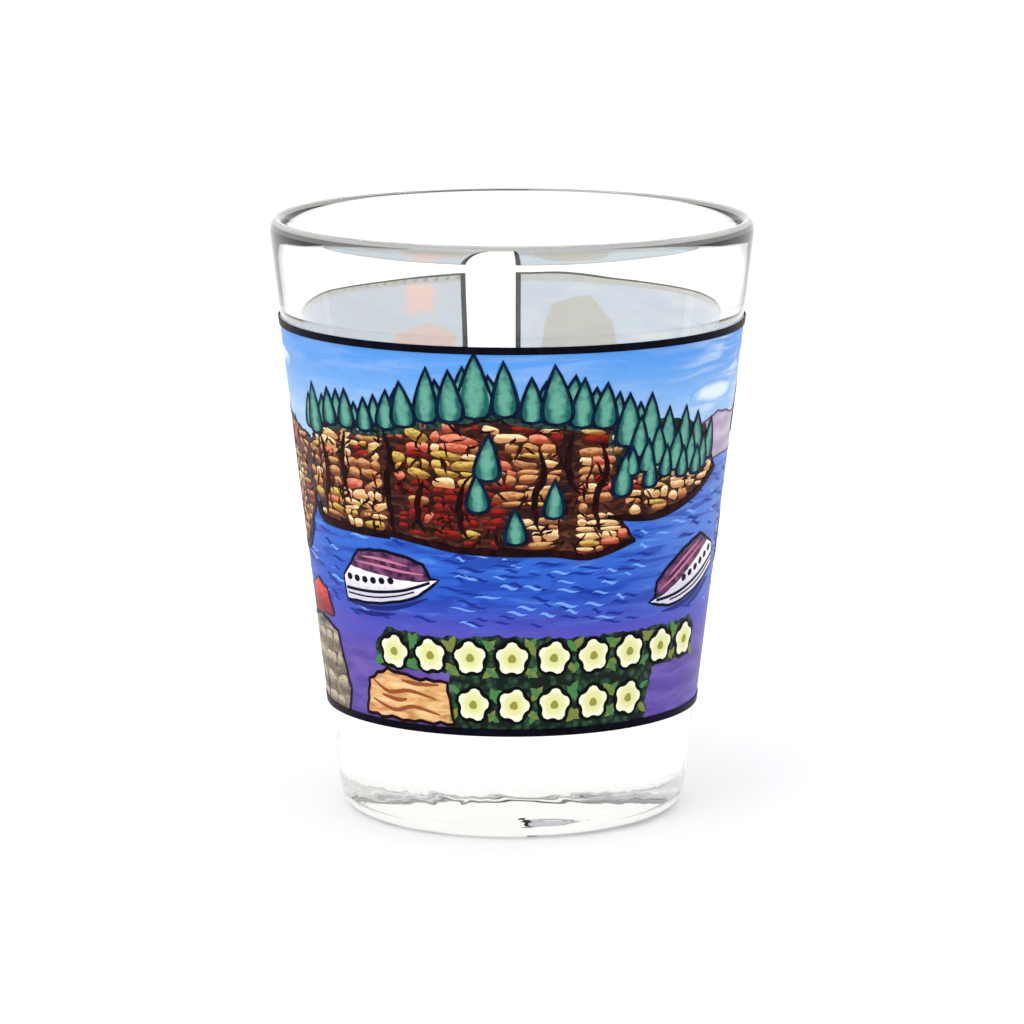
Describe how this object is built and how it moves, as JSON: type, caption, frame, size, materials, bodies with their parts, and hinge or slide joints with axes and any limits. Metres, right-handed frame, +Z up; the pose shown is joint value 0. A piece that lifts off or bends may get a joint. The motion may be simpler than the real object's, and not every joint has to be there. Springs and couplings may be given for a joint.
{
  "type": "shot glass",
  "caption": "Tapered clear-glass shot glass with a thick solid base and a wrap-round enamel print of a river landscape.",
  "frame": {"origin": "middle of the ring the glass stands on, at table level", "axes": "+Z up along the glass's axis towards the rim; -Y is the front of the printed picture; +X is to the right of somebody facing the front"},
  "size_m": [0.0486, 0.0486, 0.06],
  "materials": {
    "clear_glass": "polished",
    "white_enamel": "satin",
    "sky_enamel": "satin",
    "mauve_enamel": "satin",
    "tan_enamel": "satin",
    "blue_enamel": "satin",
    "violet_enamel": "satin",
    "grey_brown_enamel": "satin",
    "sand_enamel": "satin",
    "dark_green_enamel": "satin",
    "teal_enamel": "satin",
    "red_brown_enamel": "satin",
    "maroon_enamel": "satin",
    "red_enamel": "satin",
    "navy_enamel": "satin",
    "cream_enamel": "satin",
    "black_enamel": "satin"
  },
  "bodies": {
    "root": {"glass_body": "clear_glass", "white_underprint": "white_enamel", "sky_ink": "sky_enamel", "hill_ink": "mauve_enamel", "rock_ink": "tan_enamel", "river_ink": "blue_enamel", "violet_water_ink": "violet_enamel", "boulder_ink": "grey_brown_enamel", "sand_ink": "sand_enamel", "foliage_ink": "dark_green_enamel", "tree_ink": "teal_enamel", "strata_ink": "red_brown_enamel", "white_ink": "white_enamel", "maroon_ink": "maroon_enamel", "red_ink": "red_enamel", "ripple_ink": "navy_enamel", "blossom_ink": "cream_enamel", "black_line": "black_enamel"}
  },
  "joints": []
}
